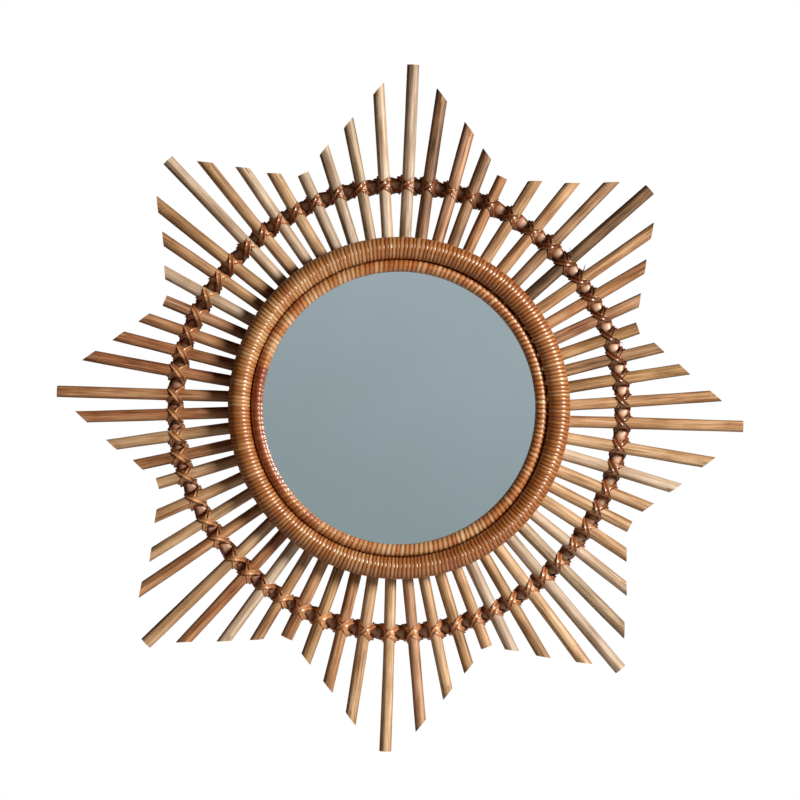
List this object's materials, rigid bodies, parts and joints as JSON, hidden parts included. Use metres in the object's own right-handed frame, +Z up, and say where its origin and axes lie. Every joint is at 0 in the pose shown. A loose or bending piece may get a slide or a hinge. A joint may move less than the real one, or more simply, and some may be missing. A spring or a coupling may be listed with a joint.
{
  "type": "wall mirror",
  "caption": "Round wall mirror in a rattan sunburst frame: rods fan out from peel-wound rings over a lashed hoop and are cut to a pointed star.",
  "frame": {"origin": "centre of the backing board's flat back, on the face of the wall", "axes": "+Y points into the wall, so the mirror faces -Y; +Z is up, with one point of the star at the top"},
  "size_m": [0.6, 0.0399, 0.6001],
  "materials": {
    "backing_board": "bare plywood",
    "hanger_steel": "zinc plated",
    "mirror_glass": "silvered glass",
    "main_ring_peel": "glossy stained rattan peel",
    "inner_ring_peel": "glossy stained rattan peel",
    "hoop_peel": "glossy dark rattan peel",
    "rattan_pale_straw": "bare rattan rod",
    "rattan_straw": "bare rattan rod",
    "rattan_tan": "bare rattan rod",
    "rattan_golden": "bare rattan rod",
    "rattan_orange_tan": "bare rattan rod",
    "rattan_reddish": "bare rattan rod",
    "rattan_dark": "bare rattan rod",
    "rattan_grey_straw": "bare rattan rod"
  },
  "bodies": {
    "root": {"backing_board": "backing_board", "hanger_plate": "hanger_steel", "hanger_screw_1": "hanger_steel", "hanger_screw_2": "hanger_steel", "mirror_glass": "mirror_glass", "main_ring": "main_ring_peel", "inner_ring": "inner_ring_peel", "outer_hoop": "hoop_peel", "rod_02": "rattan_dark", "rod_03": "rattan_orange_tan", "rod_04": "rattan_grey_straw", "rod_06": "rattan_grey_straw", "rod_07": "rattan_reddish", "rod_08": "rattan_golden", "rod_10": "rattan_tan", "rod_11": "rattan_orange_tan", "rod_12": "rattan_reddish", "rod_14": "rattan_dark", "rod_15": "rattan_golden", "rod_16": "rattan_tan", "rod_18": "rattan_tan", "rod_19": "rattan_golden", "rod_20": "rattan_tan", "rod_22": "rattan_straw", "rod_23": "rattan_orange_tan", "rod_24": "rattan_grey_straw", "rod_26": "rattan_pale_straw", "rod_27": "rattan_orange_tan", "rod_28": "rattan_pale_straw", "rod_30": "rattan_reddish", "rod_31": "rattan_straw", "rod_32": "rattan_tan", "rod_34": "rattan_tan", "rod_35": "rattan_orange_tan", "rod_36": "rattan_tan", "rod_38": "rattan_reddish", "rod_39": "rattan_straw", "rod_40": "rattan_dark", "rod_42": "rattan_reddish", "rod_43": "rattan_golden", "rod_44": "rattan_reddish", "rod_46": "rattan_orange_tan", "rod_47": "rattan_tan", "rod_48": "rattan_orange_tan", "rod_50": "rattan_orange_tan", "rod_51": "rattan_golden", "rod_52": "rattan_orange_tan", "rod_54": "rattan_straw", "rod_55": "rattan_tan", "rod_56": "rattan_golden", "rod_58": "rattan_straw", "rod_59": "rattan_orange_tan", "rod_60": "rattan_orange_tan", "rod_62": "rattan_pale_straw", "rod_63": "rattan_grey_straw", "rod_64": "rattan_pale_straw"}
  },
  "joints": []
}
